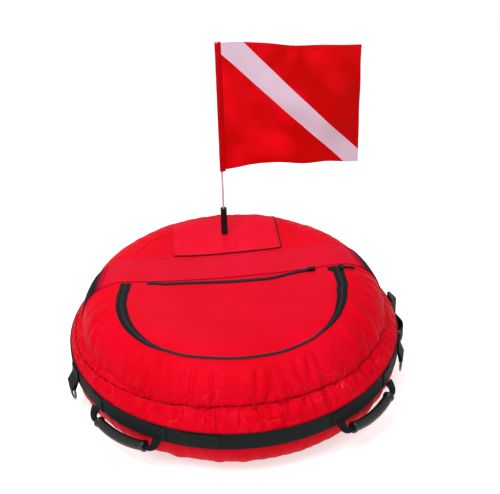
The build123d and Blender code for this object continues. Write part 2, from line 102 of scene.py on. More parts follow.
camera_spot = (-0.1613, -2.0276, 1.6315)
camera_turn = (radians(57.48), radians(1.3408), radians(-6.5547))
bpy.ops.object.camera_add(location=camera_spot, rotation=camera_turn)
camera = bpy.context.object
camera.data.sensor_width = 36
camera.data.lens = 79.2
bpy.context.scene.camera = camera
bpy.context.scene.view_settings.view_transform = "Standard"

white = (1, 1, 1, 1)
room_strength = 0.40
studio = bpy.data.worlds.new("studio")
studio.use_nodes = True
bpy.context.scene.world = studio
tree = studio.node_tree
tree.nodes.clear()
white_wall = put(tree, "Background", {"Color": white, "Strength": 1.0})
room_light = put(tree, "Background", {"Color": white, "Strength": room_strength})
wall = mix_shaders(tree, seen_directly(tree), room_light, white_wall)
put(tree, "OutputWorld", {"Surface": wall.outputs[0]})

light_target = Vector((0, 0, 0.2))
for name, spot, watts, width in [
    ("key_light", (-1.05, -1.25, 2.75), 56, 1.3),
    ("fill_light", (0.75, -0.85, 3.0), 17, 1.4),
    ("rear_light", (-0.3, 2.2, 2.3), 12, 1.6),
]:
    aim = (light_target - Vector(spot)).to_track_quat("-Z", "Y").to_euler()
    bpy.ops.object.light_add(type="AREA", location=spot, rotation=aim)
    lamp = bpy.context.object
    lamp.name = name
    lamp.data.energy = watts
    lamp.data.size = width

floor_reach, fade_start, fade_end = 9, 0.9, 2.4
bpy.ops.mesh.primitive_circle_add(vertices=96, radius=floor_reach, fill_type="NGON")
floor = bpy.context.object
floor.name = "floor"
bpy.ops.object.mode_set(mode="EDIT")
bpy.ops.mesh.inset(thickness=6)
bpy.ops.mesh.inset(thickness=1.6)
bpy.ops.object.mode_set(mode="OBJECT")
pale_floor, tree, _ = new_material("pale_floor")
tree.nodes.clear()
lit = put(tree, "BsdfDiffuse", {"Color": (0.86, 0.86, 0.86, 1)})
glow = put(tree, "Emission", {"Color": white, "Strength": 0.6})
near_floor = put(tree, "AddShader", {0: lit.outputs[0], 1: glow.outputs[0]})
far_floor = put(tree, "Emission", {"Color": white, "Strength": 1.0})
place = put(tree, "TexCoord").outputs["Object"]
distance = put(tree, "VectorMath", {0: place}, operation="LENGTH").outputs["Value"]
seen_floor = mix_shaders(tree, rescale(tree, distance, fade_start, fade_end), near_floor, far_floor)
ground = mix_shaders(tree, seen_directly(tree), lit, seen_floor)
put(tree, "OutputMaterial", {"Surface": ground.outputs[0]})
floor.data.materials.append(pale_floor)


# Cover: the red nylon jacket over the inflated ring. Its bottom, gathered side and crown
# panels are sewn together at the shoulder, and it turns in over the tube as the well wall.
body_radius = 0.372
foot_inner_radius, foot_outer_radius = 0.228, 0.281
belt_low, belt_high = 0.088, 0.128
seam_radius, seam_height = 0.342, 0.165
crest_radius, crest_height = 0.245, 0.258
well_radius, well_waist_height = 0.115, 0.128
top_sag = 0.012
crown_rise, crown_reach = crest_height - seam_height, seam_radius - crest_radius
crown_radius = (crown_reach**2 + crown_rise**2) / (2 * crown_rise)
crown_centre = crest_height - crown_radius
dish_depth = crown_radius - top_sag
dish_radius = (crest_radius**2 + dish_depth**2 - crown_radius**2) / (2 * top_sag)
dish_centre = crest_height - top_sag + dish_radius
rim_turn = asin(crest_radius / (dish_radius + crown_radius))
rim_radius = crest_radius - crown_radius * sin(rim_turn)
rim_height = crown_centre + crown_radius * cos(rim_turn)
seam_turn = atan2(seam_height - crown_centre, crown_reach)
flap_half, flap_front, flap_corner = 0.241, 0.283, 0.215
hinge_y = 0.015
deck_radius = 0.243
seat_depth, groove_depth = 0.0036, 0.0032
gather_depth, fold_depth = 0.0085, 0.0185
foot_chord = foot_inner_radius - well_radius
wall_radius = (foot_chord**2 + well_waist_height**2) / (2 * foot_chord)
base_radius = ((body_radius - foot_outer_radius) ** 2 + belt_low**2) / (2 * belt_low)
belt_turn = atan2(belt_low - base_radius, body_radius - foot_outer_radius)
side_middle = (seam_radius + (body_radius - seam_radius) * 0.62, (belt_high + seam_height) / 2 + 0.001)
wall_top = 0.2
foot_steps, base_steps, belt_steps, side_steps = 6, 16, 4, 12
crown_steps, lip_steps, wall_steps = 60, 10, 18


def arc(centre, radius, start, end, count):
    """Points of an arc in section, end point left out."""
    turns = [start + (end - start) * i / count for i in range(count)]
    return [(centre[0] + radius * cos(t), centre[1] + radius * sin(t)) for t in turns]


def arc_through(first, middle, last, count):
    """Points of the arc through three points in section, end point left out."""
    (ax, ay), (bx, by), (cx, cy) = first, middle, last
    a, b, c = ax**2 + ay**2, bx**2 + by**2, cx**2 + cy**2
    d = 2 * (ax * (by - cy) + bx * (cy - ay) + cx * (ay - by))
    ux = (a * (by - cy) + b * (cy - ay) + c * (ay - by)) / d
    uy = (a * (cx - bx) + b * (ax - cx) + c * (bx - ax)) / d
    start, end = atan2(ay - uy, ax - ux), atan2(cy - uy, cx - ux)
    if end - start > pi:
        end -= 2 * pi
    if start - end > pi:
        end += 2 * pi
    return arc((ux, uy), hypot(ax - ux, ay - uy), start, end, count)


def wall_at(height):
    """Radius of the well's wall, which bulges inwards."""
    return well_radius + wall_radius - sqrt(wall_radius**2 - (height - well_waist_height) ** 2)


foot_width, belt_width = foot_outer_radius - foot_inner_radius, belt_high - belt_low
section = [(foot_inner_radius + foot_width * i / foot_steps, 0.0) for i in range(foot_steps)]
section += arc((foot_outer_radius, base_radius), base_radius, -pi / 2, belt_turn, base_steps)
section += [(body_radius, belt_low + belt_width * i / belt_steps) for i in range(belt_steps)]
section += arc_through((body_radius, belt_high), side_middle, (seam_radius, seam_height), side_steps)
seam_station = len(section)
section += arc((crest_radius, crown_centre), crown_radius, seam_turn, pi / 2 + rim_turn, crown_steps)
crown_end = len(section)
lip_middle = (wall_at(0.226) + 0.01, 0.232)
section += arc_through((rim_radius, rim_height), lip_middle, (wall_at(wall_top), wall_top), lip_steps)
wall_heights = [wall_top * (1 - i / wall_steps) for i in range(wall_steps + 1)]
section += [(wall_at(height), height) for height in wall_heights]
reach = [0.0]
for (r0, z0), (r1, z1) in zip(section, section[1:]):
    reach.append(reach[-1] + hypot(r1 - r0, z1 - z0))
seam_reach = reach[seam_station]


def section_at(distance):
    """Radius, height and outward direction of the cover's section at a distance along it."""
    distance = min(max(distance, 0.0), reach[-1] - 1e-6)
    i = min(bisect_right(reach, distance) - 1, len(reach) - 2)
    (r0, z0), (r1, z1) = section[i], section[i + 1]
    span = reach[i + 1] - reach[i]
    part = (distance - reach[i]) / span
    return r0 + (r1 - r0) * part, z0 + (z1 - z0) * part, (z1 - z0) / span, (r0 - r1) / span


def ease(value, low, high):
    """0 below low, 1 above high and smooth between."""
    share = min(max((value - low) / (high - low), 0.0), 1.0)
    return share * share * (3 - 2 * share)


flap_lean = [(0.0, -0.005), (0.03, -0.001), (0.06, 0.005), (0.10, 0.008), (0.18, 0.009), (0.24, 0.008),
             (0.33, 0.003), (0.42, 0.0), (0.58, 0.0), (0.66, -0.002), (0.71, -0.0045), (0.77, -0.006),
             (0.82, -0.0085), (0.88, -0.0085), (0.92, -0.004), (1.0, -0.004)]


def lean_at(share):
    """How far the sewn outline strays out from the cut one: full on the left, drawn in on the right."""
    for (s0, d0), (s1, d1) in zip(flap_lean, flap_lean[1:]):
        if share <= s1:
            return d0 + (d1 - d0) * ease(share, s0, s1)
    return flap_lean[-1][1]


def cut_edge(share):
    """A point of the flap's cut outline and the direction out of it: side, corner and half the front,
    then the same mirrored."""
    if share > 0.5:
        x, y, out_x, out_y = cut_edge(1 - share)
        return -x, y, -out_x, out_y
    corner_x = flap_half - flap_corner
    corner_y = -sqrt((flap_front - flap_corner) ** 2 - corner_x**2)
    touch = atan2(-corner_y, corner_x)
    side, bend, front = hinge_y - corner_y, touch * flap_corner, (pi - 2 * touch) * flap_front
    run = share * (2 * side + 2 * bend + front)
    if run <= side:
        return -flap_half, hinge_y - run, -1.0, 0.0
    if run <= side + bend:
        turn = pi + (run - side) / flap_corner
        return flap_corner * cos(turn) - corner_x, corner_y + flap_corner * sin(turn), cos(turn), sin(turn)
    turn = touch - pi + (run - side - bend) / flap_front
    return flap_front * cos(turn), flap_front * sin(turn), cos(turn), sin(turn)


def flap_edge(share):
    """The same on the sewn outline, from its left end (0) to the right (1)."""
    x, y, out_x, out_y = cut_edge(share)
    lean = lean_at(share)
    return x + out_x * lean, y + out_y * lean, out_x, out_y


edge_points = [flap_edge(i / 240) for i in range(241)]


def out_of_flap(x, y):
    """Distance of a place from the flap's outline, negative inside it."""
    ex, ey, out_x, out_y = min(edge_points, key=lambda e: (x - e[0]) ** 2 + (y - e[1]) ** 2)
    away = hypot(x - ex, y - ey)
    return away if (x - ex) * out_x + (y - ey) * out_y > 0 else -away


def noise_at(x, y, z):
    return noise.noise(Vector((x, y, z)))


def slack(x, y):
    """The soft unevenness that every layer of the top follows."""
    return noise_at(x * 9, y * 9, 3.1) * 0.0022 + noise_at(x * 21, y * 21, 7.7) * 0.0008


def top_spot(x, y, lift):
    """The place on the dished top above (x, y), raised off the cover by lift."""
    radius = hypot(x, y)
    if radius < rim_radius:
        drop = sqrt(dish_radius**2 - radius**2)
        normal = Vector((-x / dish_radius, -y / dish_radius, drop / dish_radius))
        spot = Vector((x, y, dish_centre - drop))
    else:
        reached = min(radius, seam_radius - 0.0002)
        rise = sqrt(crown_radius**2 - (reached - crest_radius) ** 2)
        out = (reached - crest_radius) / crown_radius
        normal = Vector((x / radius * out, y / radius * out, rise / crown_radius))
        spot = Vector((x / radius * reached, y / radius * reached, crown_centre + rise))
    return spot + normal * (lift + slack(x, y))


def top_push(r, ca, sa, from_seam):
    """How far the crown stands out: folds where no layer holds it flat, a seat where one lies."""
    x, y = r * ca, r * sa
    near_band = (1 - ease(abs(y - 0.0605), 0.047, 0.066)) * ease(abs(x), 0.19, 0.22)
    near_patch = (1 - ease(abs(x), 0.13, 0.15)) * ease(y, 0.09, 0.11) * (1 - ease(y, 0.258, 0.275))
    outside = out_of_flap(x, y) if y < 0.02 else 1.0
    free = (1 - near_band) * (1 - near_patch) * ease(outside, 0.012, 0.034) * ease(r, 0.25, 0.27)
    free *= (0.3 + 0.7 * (1 - ease(y, 0.0, 0.12))) * (1 - 0.5 * ca**4)
    fine = abs(noise_at(ca * 26, sa * 26, from_seam * 12))
    broad = abs(noise_at(ca * 10 + 5, sa * 10, from_seam * 7 + noise_at(ca * 4, sa * 4, 2)))
    fading = 0.45 + 0.55 * exp(-from_seam / 0.09)
    push = slack(x, y) + free * (fine - 0.22) * gather_depth * exp(-from_seam / 0.030)
    push += free * (broad - 0.25) * fold_depth * ease(from_seam, -0.01, 0.02) * fading
    if outside < 0.0:
        push -= seat_depth
    elif outside < 0.012 and y < 0.02:
        push -= 0.0004
    if y >= hinge_y and r < deck_radius + 0.0005:
        push -= seat_depth
    return push


def side_push(z, ca, sa):
    """How far the side stands out: gathers between belt and seam, and drawn in under the belt."""
    push = 0.0
    if z > belt_high:
        gather = abs(noise_at(ca * 30, sa * 30, z * 9))
        crease = abs(noise_at(ca * 15, sa * 15, z * 26 + 4 * noise_at(ca * 9, sa * 9, 5)))
        held = ease((z - belt_high) / (seam_height - belt_high), 0.02, 0.3)
        push = ((gather - 0.22) * 0.0110 + (crease - 0.22) * 0.0085) * held * (1 - 0.65 * ca**6)
    if belt_low - 0.004 < z <= belt_high + 0.001:
        push -= 0.0006
    return push


def cover_spot(station, azimuth):
    """A place of the cover: the section with the seam's uneven course and all that pushes it out."""
    from_seam = reach[station] - seam_reach
    ca, sa, around = cos(azimuth), sin(azimuth), degrees(azimuth)
    course = -0.024 + 0.020 * ease(around, -172, -122) + 0.012 * ease(around, -128, -98)
    course -= 0.006 * ease(around, -80, -45) + 0.026 * ease(around, 30, 170)
    r, z, out_r, out_z = section_at(reach[station] + course * exp(-(from_seam / 0.03) ** 2))
    push = 0.0
    if station > crown_end:
        push = 0.004 * noise_at(ca * 9, sa * 9, z * 5) * ease(z, 0.02, 0.06) * (1 - ease(z, 0.15, 0.2))
        push -= seat_depth * ease(z, 0.19, 0.22)
    elif z >= 0.004:
        push = top_push(r, ca, sa, from_seam) if from_seam > -0.0005 else side_push(z, ca, sa)
        if z < belt_low:
            pleat = abs(noise_at(ca * 12, sa * 12, z * 7 + 9))
            push += (pleat - 0.25) * 0.007 * ease(z, 0.0, 0.03) * (1 - ease(z, 0.07, belt_low))
        stitch_pull = 0.6 + 0.4 * noise_at(ca * 55, sa * 55, 0)
        push -= groove_depth * exp(-(from_seam / 0.0030) ** 2) * stitch_pull
    return (r + push * out_r) * ca, (r + push * out_r) * sa, z + push * out_z


def add(kind, name, **settings):
    """A new mesh of a basic kind, which is then all that is selected."""
    bpy.ops.object.select_all(action="DESELECT")
    getattr(bpy.ops.mesh, f"primitive_{kind}_add")(**settings)
    made = bpy.context.object
    made.name = made.data.name = name
    return made


def tube(name, around, stations, spot, fill="NOTHING"):
    """A tube of rings of vertices, each where spot(station, turn round the tube) says."""
    piece = add("circle", name, vertices=around, radius=0.01, fill_type=fill)
    bpy.ops.object.mode_set(mode="EDIT")
    for _ in range(stations - 1):
        bpy.ops.mesh.extrude_region_move(TRANSFORM_OT_translate={"value": (0, 0, 0.01)})
    bpy.ops.object.mode_set(mode="OBJECT")
    for index, vertex in enumerate(piece.data.vertices):
        vertex.co = spot(index // around, atan2(vertex.co.y, vertex.co.x))
    return piece


def face_outwards(weld=0.0):
    """Turns the faces of the active piece outwards, its vertices welded first that are closer than weld."""
    bpy.ops.object.mode_set(mode="EDIT")
    bpy.ops.mesh.select_all(action="SELECT")
    if weld:
        bpy.ops.mesh.remove_doubles(threshold=weld)
    bpy.ops.mesh.normals_make_consistent(inside=False)
    bpy.ops.object.mode_set(mode="OBJECT")


segments = 720
cover = tube("cover_jacket", segments, len(section), cover_spot)

# The cloth's own grain follows the section: metres round the seam and metres up from it
vertices = cover.data.vertices
marks = cover.data.uv_layers[0]
for face in cover.data.polygons:
    turns = [atan2(vertices[v].co.y, vertices[v].co.x) for v in face.vertices]
    for loop, vertex, turn in zip(face.loop_indices, face.vertices, turns):
        turn += 2 * pi if max(turns) - turn > pi else 0.0
        marks.data[loop].uv = (turn * seam_radius, reach[vertex // segments] - seam_reach)
face_outwards(weld=0.0001)
bpy.ops.object.shade_smooth()


def new_group(name, inputs, outputs):
    """A node group, what it is given and what it makes. An input without a value is a vector."""
    group = bpy.data.node_groups.new(name, "ShaderNodeTree")
    for label, value in inputs.items():
        kind = "NodeSocketVector" if value is None else "NodeSocketFloat"
        socket = group.interface.new_socket(name=label, in_out="INPUT", socket_type=kind)
        if value is not None:
            socket.default_value = value
    for label in outputs:
        group.interface.new_socket(name=label, in_out="OUTPUT", socket_type="NodeSocketFloat")
    return group, group.nodes.new("NodeGroupInput").outputs, group.nodes.new("NodeGroupOutput").inputs


def cloud(tree, place, scale, detail, **more):
    """The value of a noise."""
    return put(tree, "TexNoise", {"Vector": place, "Scale": scale, "Detail": detail, **more}).outputs["Fac"]


def vector(tree, operation, *values):
    """What a Vector Math node makes of values or links."""
    return put(tree, "VectorMath", dict(enumerate(values)), operation=operation).outputs[0]


# Plain weave: threads that pass over and under each other at a pitch in metres
weave, given, result = new_group("weave", {"Vector": None, "Pitch": 0.0008}, ["Height", "Tone"])
parts = put(weave, "SeparateXYZ", {0: given["Vector"]}).outputs
waves = []
for axis in ("X", "Y"):
    count = calc(weave, "DIVIDE", parts[axis], given["Pitch"])
    waves.append(calc(weave, "SINE", calc(weave, "MULTIPLY", count, pi)))
crossing = calc(weave, "MULTIPLY", *waves)
height = calc(weave, "MULTIPLY_ADD", crossing, 0.5, 0.5)
uneven = cloud(weave, given["Vector"], 90.0, 2.0)
weave.links.new(height, result["Height"])
weave.links.new(calc(weave, "MULTIPLY", height, uneven), result["Tone"])

# Crumples: facets with sharp edges left by packing, and a crease here and there between them
crumple, given, result = new_group("crumple", {"Vector": None, "Scale": 18.0}, ["Height", "Crease"])
warp = put(crumple, "TexNoise", {"Vector": given["Vector"], "Scale": 9.0, "Detail": 1.0}).outputs["Color"]
swayed = vector(crumple, "MULTIPLY_ADD", warp, (0.035, 0.035, 0.035), given["Vector"])
facets = put(crumple, "TexVoronoi", {"Vector": swayed, "Scale": given["Scale"]}, feature="DISTANCE_TO_EDGE")
from_edge = facets.outputs["Distance"]
rise = calc(crumple, "MULTIPLY", from_edge, 2.2, clamped=True)
swell = cloud(crumple, swayed, given["Scale"], 1.0)
line = rescale(crumple, from_edge, 0.0, 0.030, 1.0, 0.0)
some = rescale(crumple, cloud(crumple, given["Vector"], 26.0, 3.0), 0.50, 0.66)
crumple.links.new(calc(crumple, "MULTIPLY", rise, swell), result["Height"])
crumple.links.new(calc(crumple, "MULTIPLY", line, some), result["Crease"])


def blend(tree, share, first, second, kind="MIX"):
    """A share of the second colour over the first."""
    sockets = {"Factor": share, "A": first, "B": second}
    return put(tree, "Mix", sockets, data_type="RGBA", blend_type=kind).outputs["Result"]


def overlay(socket, share, colour):
    """Lays a share of a colour over what a socket is linked to."""
    tree = socket.id_data
    tree.links.new(blend(tree, share, socket.links[0].from_socket, (*colour, 1)), socket)


def raise_by(shader, height, strength, distance):
    """Adds a height to what a shader's surface shows."""
    tree, normal = shader.id_data, shader.inputs["Normal"]
    sockets = {"Strength": strength, "Distance": distance, "Height": height}
    if normal.is_linked:
        sockets["Normal"] = normal.links[0].from_socket
    bump = put(tree, "Bump", sockets)
    tree.links.new(bump.outputs[0], normal)
    return bump


def cloth(name, colour, shade, folds=0.5, fold_size=18.0, pitch=0.0008, weave_depth=0.15, gloss=0.50,
          specular=0.05, depth=0.0045, patch_size=7.0, patch_detail=4.0):
    """Woven, coated cloth: a thread pattern on the piece's own map and crumples over it."""
    made, tree, shader = new_material(name)
    own_map = put(tree, "UVMap", uv_map="UVMap").outputs[0]
    place = put(tree, "TexCoord").outputs["Object"]
    threads = put(tree, "Group", {"Vector": own_map, "Pitch": pitch}, node_tree=weave).outputs
    crumples = put(tree, "Group", {"Vector": place, "Scale": fold_size}, node_tree=crumple)
    crumples.name = "Crumples"
    patchy = cloud(tree, place, patch_size, patch_detail)
    tone = blend(tree, rescale(tree, patchy, 0.3, 0.7), (*colour, 1), (*shade, 1))
    tone.node.name = "Tone"
    thread_tone = rescale(tree, threads["Tone"], 0.0, 1.0, 0.90, 1.06)
    woven = blend(tree, 1.0, tone, thread_tone, "MULTIPLY")
    woven.node.name = "Woven"
    tree.links.new(woven, shader.inputs["Base Color"])
    rubbed = rescale(tree, patchy, 0.0, 1.0, gloss - 0.08, gloss + 0.10)
    tree.links.new(rubbed, shader.inputs["Roughness"])
    raise_by(shader, crumples.outputs["Height"], folds, depth).name = "Soft"
    raise_by(shader, threads["Height"], weave_depth, 0.0003)
    shader.inputs["Specular IOR Level"].default_value = specular
    return made


# The cover's nylon has pale creases and drawn folds by the seam, and the seam's own dark dashes. The creases'
# pale colour is partly whitened wear and partly painted highlight of the coating's gloss on the fold ridges.
cover_nylon = cloth("cover_nylon", (0.86, 0.002, 0.020), (0.76, 0.001, 0.010), folds=0.85, fold_size=32.0,
                    specular=0.025, depth=0.0075)
tree = cover_nylon.node_tree
shader = tree.nodes["Principled BSDF"]
crumples = tree.nodes["Crumples"].outputs
own_map = tree.nodes["UV Map"].outputs[0]
off_seam = calc(tree, "ABSOLUTE", put(tree, "SeparateXYZ", {0: own_map}).outputs["Y"])
# Pale crease lines: partly wear, partly painted highlight on the fold ridges
wear_and_highlight = calc(tree, "MULTIPLY", crumples["Crease"], rescale(tree, off_seam, 0.03, 0.075, 0.48, 0.03))
overlay(tree.nodes["Woven"].inputs["A"], wear_and_highlight, (0.989, 0.07, 0.10))
held = rescale(tree, off_seam, 0.01, 0.06, 1.0, 0.0)
crumpled = calc(tree, "MULTIPLY", crumples["Height"], held)
drawn = cloud(tree, vector(tree, "MULTIPLY", own_map, (1.0, 0.12, 1.0)), 34.0, 1.5, Distortion=0.4)
drawn_near = calc(tree, "MULTIPLY", drawn, rescale(tree, off_seam, 0.02, 0.14, 1.0, 0.1))
tree.links.new(calc(tree, "MULTIPLY_ADD", drawn_near, 1.2, crumpled), tree.nodes["Soft"].inputs["Height"])
gathers = cloud(tree, vector(tree, "MULTIPLY", own_map, (1.0, 0.16, 1.0)), 95.0, 2.0)
raise_by(shader, calc(tree, "MULTIPLY", gathers, held), 0.8, 0.006)
on_seam = rescale(tree, off_seam, 0.0006, 0.0026, 1.0, 0.0)
dashes = rescale(tree, cloud(tree, own_map, 75.0, 1.0), 0.42, 0.6, 0.35, 1.0)
overlay(shader.inputs["Base Color"], calc(tree, "MULTIPLY", on_seam, dashes), (0.10, 0.001, 0.006))


def fit(piece, material, slot_name, body, *nodes):
    """Gives a piece its material, the body it moves with and the nodes it stands for. The slot name is not
    used.
    """
    piece.data.materials.clear()
    piece.data.materials.append(material)
    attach(piece, body)
    if nodes:
        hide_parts(*nodes)
    return piece


fit(cover, cover_nylon, "cover", "root", "cover_base", "cover_side", "cover_crown")


# Top deck: the rear half of the top panel, one layer of the same nylon stretched over the
# well, sewn to the crown round its edge and to the cross band in front.
def thicken(piece, thickness, offset=-1):
    """Gives the active piece a thickness, below its surface or, at offset 0, half above it."""
    wall = piece.modifiers.new("thickness", "SOLIDIFY")
    wall.thickness = thickness
    wall.offset = offset
    bpy.ops.object.modifier_apply(modifier=wall.name)


def laid_cloth(name, columns, rows, place, size, thickness):
    """A grid of cloth laid where place(u, v) says, u and v from 0 to 1, with its thickness below.
    Its map UVMap is in metres, and Place runs from 0 to 1 each way."""
    piece = add("grid", name, x_subdivisions=columns, y_subdivisions=rows, size=1)
    whole = piece.data.uv_layers.new(name="Place")
    for at, loop in zip(whole.data, piece.data.uv_layers[0].data):
        at.uv = loop.uv
        loop.uv = (loop.uv[0] * size[0], loop.uv[1] * size[1])
    piece.data.uv_layers.active_index = 0
    for vertex in piece.data.vertices:
        vertex.co = place(vertex.co.x + 0.5, vertex.co.y + 0.5)
    piece.data.update()
    inside = Vector((0, 0, 0.1))
    outward = sum(f.normal.dot(f.center - inside) * f.area for f in piece.data.polygons)
    bpy.ops.object.mode_set(mode="EDIT")
    bpy.ops.mesh.select_all(action="SELECT")
    bpy.ops.mesh.remove_doubles(threshold=0.00002)
    if outward < 0:
        bpy.ops.mesh.flip_normals()
    bpy.ops.object.mode_set(mode="OBJECT")
    if thickness:
        thicken(piece, thickness)
    bpy.ops.object.shade_smooth_by_angle(angle=radians(50))
    return piece


def fan_spot(centre_y, rim, v):
    """A place of a cloth that fans out from a point on the middle line to a point of its rim."""
    flat = Vector((0, centre_y)).lerp(rim, v)
    return top_spot(flat.x, flat.y, 0.0)


def deck_spot(u, v):
    rim_reach = deck_radius - 0.0003
    end_turn = asin(hinge_y / rim_reach)
    turn = end_turn + (pi - 2 * end_turn) * (1 - u)
    return fan_spot(hinge_y + 0.0005, Vector((rim_reach * cos(turn), rim_reach * sin(turn))), v)


deck = laid_cloth("top_deck_cloth", 96, 40, deck_spot, (0.74, 0.24), 0.0016)
fit(deck, cover_nylon, "cover", "root", "top_deck")


# Flap: the front lid of the well, the same nylon with a hemmed edge inside the zip. The
# pocket zip runs along its hinge, and in front of it the cloth is plain.
def flap_spot(u, v):
    x, y, out_x, out_y = flap_edge(u)
    back = hinge_y - 0.0004
    return fan_spot(back, Vector((x - out_x * 0.0006, min(y - out_y * 0.0006, back))), v)


flap_nylon = cloth("flap_nylon", (0.82, 0.002, 0.022), (0.72, 0.001, 0.013), fold_size=9.0,
                   specular=0.035)
flap = laid_cloth("flap_cloth", 160, 60, flap_spot, (0.9, 0.29), 0.0018)
fit(flap, flap_nylon, "flap", "flap", "flap")


# U-shaped zip: two black tapes sewn along the edges of the opening and of the flap, each
# with its half of the coil, pressed into the cloth and narrowest where the cover folds over it.
# A third strip of the tape covers the seam on the flap's underside.
tape_end_share = 0.0068
tape_run = 1.30
tape_lift, tape_thickness = 0.0012, 0.0009
outer_gap, inner_gap = 0.0002, 0.0003
coil_width, coil_lift = 0.0022, 0.0017


def shown(share):
    """How much of a tape shows: wide at the sides of the U, narrow along the front."""
    return 0.16 + 0.84 * ease(abs(share - 0.5) * 2, 0.32, 0.80)


def shown_inside(share):
    """The same for the flap's tape, which flares at its right end."""
    return shown(share) * (1 + 0.9 * ease(share, 0.968, 0.984))


def strip(side, gap, width, lift, bow=0.0, share_shown=lambda share: 1.0):
    """A strip beside the flap's outline, outwards from it (side 1) or inwards (-1), bowed up between."""
    def spot(u, v, rise=0.0):
        share = tape_end_share + (1 - 2 * tape_end_share) * u
        x, y, out_x, out_y = flap_edge(share)
        off = side * (gap + (v if side > 0 else 1 - v) * width * share_shown(share))
        return top_spot(x + out_x * off, y + out_y * off, lift + bow * sin(pi * v) + rise)
    return spot


tape_cloth = cloth("tape_cloth", (0.003, 0.003, 0.004), (0.007, 0.006, 0.009), folds=0.2, fold_size=40.0,
                   pitch=0.0011, weave_depth=0.5, gloss=0.7, specular=0.12)
for name, columns, rows, place, width, body, *nodes in [
    ("cover", 420, 8, strip(1, outer_gap, 0.0120, tape_lift, 0.0009, shown), 0.011, "root", "flap_zip_outer"),
    ("flap", 420, 8, strip(-1, inner_gap, 0.0115, tape_lift, 0.0007, shown_inside), 0.011, "flap",
     "flap_zip_inner"),
    ("under", 240, 6, strip(-1, 0.0014, 0.0150, -0.0019), 0.015, "flap"),
]:
    tape = laid_cloth(f"flap_zip_{name}_tape", columns, rows, place, (tape_run, width), tape_thickness)
    fit(tape, tape_cloth, "zip_tape", body, *nodes)

# Wear: edges rubbed pale, and patches dulled by handling
wear, given, result = new_group("wear", {"Vector": None}, ["Rubbed", "Dull"])
edges = rescale(wear, put(wear, "NewGeometry").outputs["Pointiness"], 0.56, 0.66)
dust = cloud(wear, given["Vector"], 60.0, 5.0)
wear.links.new(calc(wear, "MULTIPLY", edges, dust), result["Rubbed"])
wear.links.new(dust, result["Dull"])


def moulded(name, colour, gloss, metallic=0.0, grain=0.15, grain_size=900.0, edge=(0.3, 0.3, 0.3), wear_and_highlight=0.25,
            specular=0.2):
    """Moulded or cast stuff: fine grain, a little tone and rubbed edges."""
    made, tree, shader = new_material(name)
    place = put(tree, "TexCoord").outputs["Object"]
    rub = put(tree, "Group", {"Vector": place}, node_tree=wear).outputs
    worn_share = calc(tree, "MULTIPLY", rub["Rubbed"], wear_and_highlight)
    tree.links.new(blend(tree, worn_share, (*colour, 1), (*edge, 1)), shader.inputs["Base Color"])
    rough = rescale(tree, rub["Dull"], 0.0, 1.0, gloss - 0.07, gloss + 0.12)
    tree.links.new(rough, shader.inputs["Roughness"])
    raise_by(shader, cloud(tree, place, grain_size, 2.0), grain, 0.0003)
    shader.inputs["Metallic"].default_value = metallic
    shader.inputs["Specular IOR Level"].default_value = specular
    return made


def coil_row(name, place, teeth):
    """Half a coil: a low round rib with a notch between each two teeth."""
    def spot(u, v):
        tooth = 0.5 + 0.5 * cos(2 * pi * u * teeth)
        return place(u, v, sin(pi * v) * (0.0008 + 0.0006 * tooth))
    return laid_cloth(name, teeth * 3, 4, spot, (tape_run, 0.003), 0)


# The coil's grey-blue, lighter than the black tape, is partly its own colour and partly painted highlight
# along the coil
coil_nylon = moulded("coil_nylon", (0.018, 0.021, 0.028), 0.42, grain=0.05, edge=(0.2, 0.2, 0.22))
for name, place, body in (("cover", strip(1, outer_gap, coil_width, coil_lift), "root"),
                          ("flap", strip(-1, inner_gap, coil_width, coil_lift), "flap")):
    fit(coil_row(f"flap_zip_{name}_coil", place, 460), coil_nylon, "zip_tape", body)


# Pocket zip: a narrow black zip let into the flap along its hinge, slack in the middle,
# with wider turned-in tape at both ends.
pocket_start, pocket_length = -0.190, 0.378


def pocket_line(u):
    dip = 0.0050 * ease(u, 0.02, 0.12) + 0.0090 * ease(u, 0.2, 0.7)
    return pocket_start + pocket_length * u, 0.0096 - dip * (1 - ease(u, 0.68, 0.94))


def pocket_tape_spot(u, v):
    x, y = pocket_line(u)
    half = 0.0056 + 0.0008 * max(1 - ease(u, 0.0, 0.05), ease(u, 0.93, 1.0))
    return top_spot(x, y + (v - 0.5) * 2 * half, 0.0010 + 0.0006 * sin(pi * v))


def pocket_coil_spot(u, v, rise):
    x, y = pocket_line(u)
    return top_spot(x, y + (v - 0.5) * coil_width, 0.0014 + rise)


pocket_tape = laid_cloth("pocket_zip_tape", 160, 6, pocket_tape_spot, (pocket_length, 0.0115), 0.0008)
fit(pocket_tape, tape_cloth, "zip_tape", "flap", "pocket_zip")
fit(coil_row("pocket_zip_coil", pocket_coil_spot, 150), coil_nylon, "zip_tape", "flap")


# Zip sliders: cast black bodies, the larger with a pull that lies outwards. Both keep
# their modelled shape and take a lacquered finish.
def dress(node_name, material):
    """A better material for a node that keeps its shape."""
    node = next(o for o in bpy.data.objects if o.get("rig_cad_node") == node_name)
    for place in node.material_slots:
        place.material = material


lacquer = moulded("black_lacquer", (0.003, 0.003, 0.004), 0.45, grain=0.08, edge=(0.2, 0.2, 0.21), wear_and_highlight=0.06,
                  specular=0.12)
for slider in ("flap_slider", "pocket_slider"):
    dress(slider, lacquer)


# Cross band: a second layer of lighter red cloth over the middle, from shoulder to
# shoulder, hemmed along both edges.
band_front, band_back = hinge_y + 0.0004, 0.106


def band_spot(u, v):
    y = band_front + (band_back - band_front) * v
    x = sqrt((seam_radius - 0.0005) ** 2 - y**2) * sin(pi / 2 * (2 * u - 1))
    border = exp(-((v - 0.03) / 0.03) ** 2) + exp(-((v - 0.97) / 0.03) ** 2)
    return top_spot(x, y, 0.0012 + 0.0004 * border)


